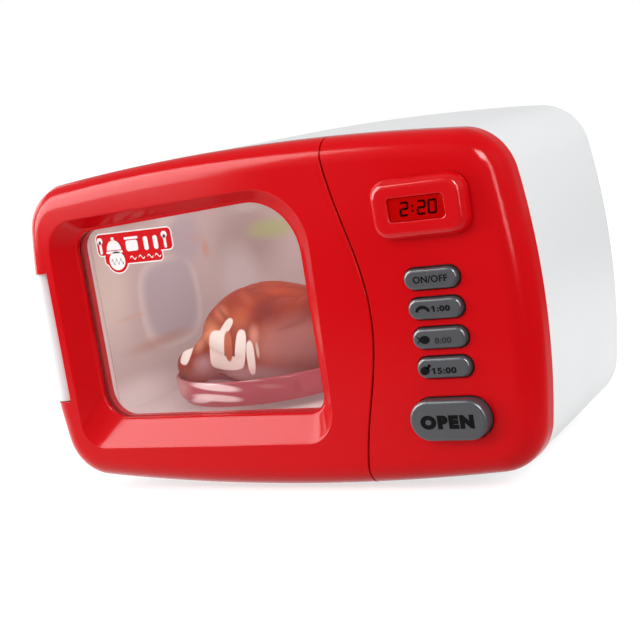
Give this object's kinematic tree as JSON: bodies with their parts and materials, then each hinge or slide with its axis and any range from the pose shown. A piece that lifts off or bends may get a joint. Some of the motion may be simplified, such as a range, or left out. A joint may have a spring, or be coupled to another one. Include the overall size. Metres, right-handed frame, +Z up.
{
  "type": "toy microwave",
  "caption": "Toy microwave with a hinged window door, push buttons, a latch worked by the opening button, and a geared turntable with pretend food.",
  "frame": {"origin": "middle of the footprint on the floor, below the case", "axes": "+X to the object's right as seen from the front, +Y from the front to the back, +Z up"},
  "size_m": [0.2674, 0.156, 0.159],
  "materials": {
    "red_plastic": "glossy red moulded plastic",
    "white_plastic": "satin white moulded plastic",
    "liner_plastic": "warm grey moulded plastic",
    "clear_window": "clear moulded sheet, faintly tinted",
    "display_red": "dark red translucent plastic",
    "button_grey": "smooth dark grey plastic",
    "dark_plastic": "dark grey moulded plastic",
    "gear_plastic": "natural white moulded gear plastic",
    "rubber": "black moulded rubber",
    "steel": "zinc-plated steel",
    "printed_card": "printed card",
    "food_plastic": "translucent orange-brown moulded plastic",
    "board": "green circuit board",
    "battery_jacket": "printed foil jacket"
  },
  "bodies": {
    "case": {"rear_housing": "white_plastic", "front_frame": "white_plastic", "cavity_liner": "liner_plastic", "backdrop_card": "printed_card", "control_panel": "red_plastic", "hinge_pin": "steel", "display_bezel": "red_plastic", "display_window": "display_red", "display_card": "printed_card", "control_board": "board", "board_screw_1": "steel", "board_screw_2": "steel", "panel_screw_1": "steel", "panel_screw_2": "steel", "panel_screw_3": "steel", "idler_pin": "steel", "compound_pin": "steel", "gear_tray": "dark_plastic", "gear_motor": "steel", "cavity_lamp": "clear_window", "speaker": "dark_plastic", "battery_box": "dark_plastic", "battery_1": "battery_jacket", "battery_2": "battery_jacket", "battery_3": "battery_jacket", "battery_contact_1": "steel", "battery_contact_2": "steel", "case_screw_1": "steel", "case_screw_2": "steel", "case_screw_3": "steel", "case_screw_4": "steel", "foot_1": "rubber", "foot_2": "rubber", "foot_3": "rubber", "foot_4": "rubber", "open_button_spring": "steel", "latch_spring": "steel"},
    "door": {"door_frame": "red_plastic", "window_pane": "clear_window", "door_inner_panel": "red_plastic", "door_screw_1": "steel", "door_screw_2": "steel", "door_screw_3": "steel", "door_screw_4": "steel"},
    "key_on_off": {"button_on_off": "button_grey"},
    "key_1_00": {"button_1_00": "button_grey"},
    "key_8_00": {"button_8_00": "button_grey"},
    "key_15_00": {"button_15_00": "button_grey"},
    "opener": {"open_button": "button_grey"},
    "latch": {"latch_slider": "gear_plastic"},
    "turntable_hub": {"turntable_drive": "gear_plastic"},
    "dish": {"turntable_plate": "red_plastic"},
    "food": {"roast_chicken": "food_plastic"},
    "idler": {"idler_gear": "gear_plastic"},
    "reduction": {"compound_gear": "gear_plastic"},
    "pinion": {"motor_pinion": "gear_plastic"},
    "cover": {"battery_cover": "white_plastic", "battery_cover_screw": "steel"}
  },
  "joints": [
    {"name": "door_hinge", "type": "hinge", "parent": "case", "child": "door", "pos_m": [-0.126, -0.0628, 0.0805], "axis": [0, 0, -1], "range_deg": [0, 100]},
    {"name": "press_on_off", "type": "slide", "parent": "case", "child": "key_on_off", "axis": [0, 1, 0], "range_m": [0, 0.0012], "stiffness_N_per_m": 400},
    {"name": "press_1_00", "type": "slide", "parent": "case", "child": "key_1_00", "axis": [0, 1, 0], "range_m": [0, 0.0012], "stiffness_N_per_m": 400},
    {"name": "press_8_00", "type": "slide", "parent": "case", "child": "key_8_00", "axis": [0, 1, 0], "range_m": [0, 0.0012], "stiffness_N_per_m": 400},
    {"name": "press_15_00", "type": "slide", "parent": "case", "child": "key_15_00", "axis": [0, 1, 0], "range_m": [0, 0.0012], "stiffness_N_per_m": 400},
    {"name": "open_press", "type": "slide", "parent": "case", "child": "opener", "axis": [0, 1, 0], "range_m": [0, 0.003], "stiffness_N_per_m": 500, "deforming": ["open_button_spring"]},
    {"name": "latch_slide", "type": "slide", "parent": "case", "child": "latch", "axis": [1, 0, 0], "range_m": [0, 0.003], "deforming": ["latch_spring"]},
    {"name": "turntable_spin", "type": "hinge", "parent": "case", "child": "turntable_hub", "pos_m": [-0.046, 0.008, 0], "axis": [0, 0, 1], "continuous": true},
    {"name": "idler_spin", "type": "hinge", "parent": "case", "child": "idler", "pos_m": [0.00025, 0.008, 0], "axis": [0, 0, 1], "continuous": true},
    {"name": "reduction_spin", "type": "hinge", "parent": "case", "child": "reduction", "pos_m": [0.02775, 0.008, 0], "axis": [0, 0, 1], "continuous": true},
    {"name": "pinion_spin", "type": "hinge", "parent": "case", "child": "pinion", "pos_m": [0.054, 0.008, 0], "axis": [0, 0, 1], "continuous": true},
    {"name": "dish_lift", "type": "slide", "parent": "turntable_hub", "child": "dish", "axis": [0, 0, 1], "range_m": [0, 0.01]},
    {"name": "food_lift", "type": "slide", "parent": "dish", "child": "food", "axis": [0, 0, 1], "range_m": [0, 0.03]},
    {"name": "cover_pull", "type": "slide", "parent": "case", "child": "cover", "axis": [0, 1, 0], "range_m": [0, 0.03]}
  ],
  "couplings": [
    {"joint": "latch_slide", "follows": "open_press", "ratio": 1},
    {"joint": "idler_spin", "follows": "turntable_spin", "ratio": -1.1765},
    {"joint": "reduction_spin", "follows": "turntable_spin", "ratio": 4},
    {"joint": "pinion_spin", "follows": "turntable_spin", "ratio": -12.8}
  ]
}
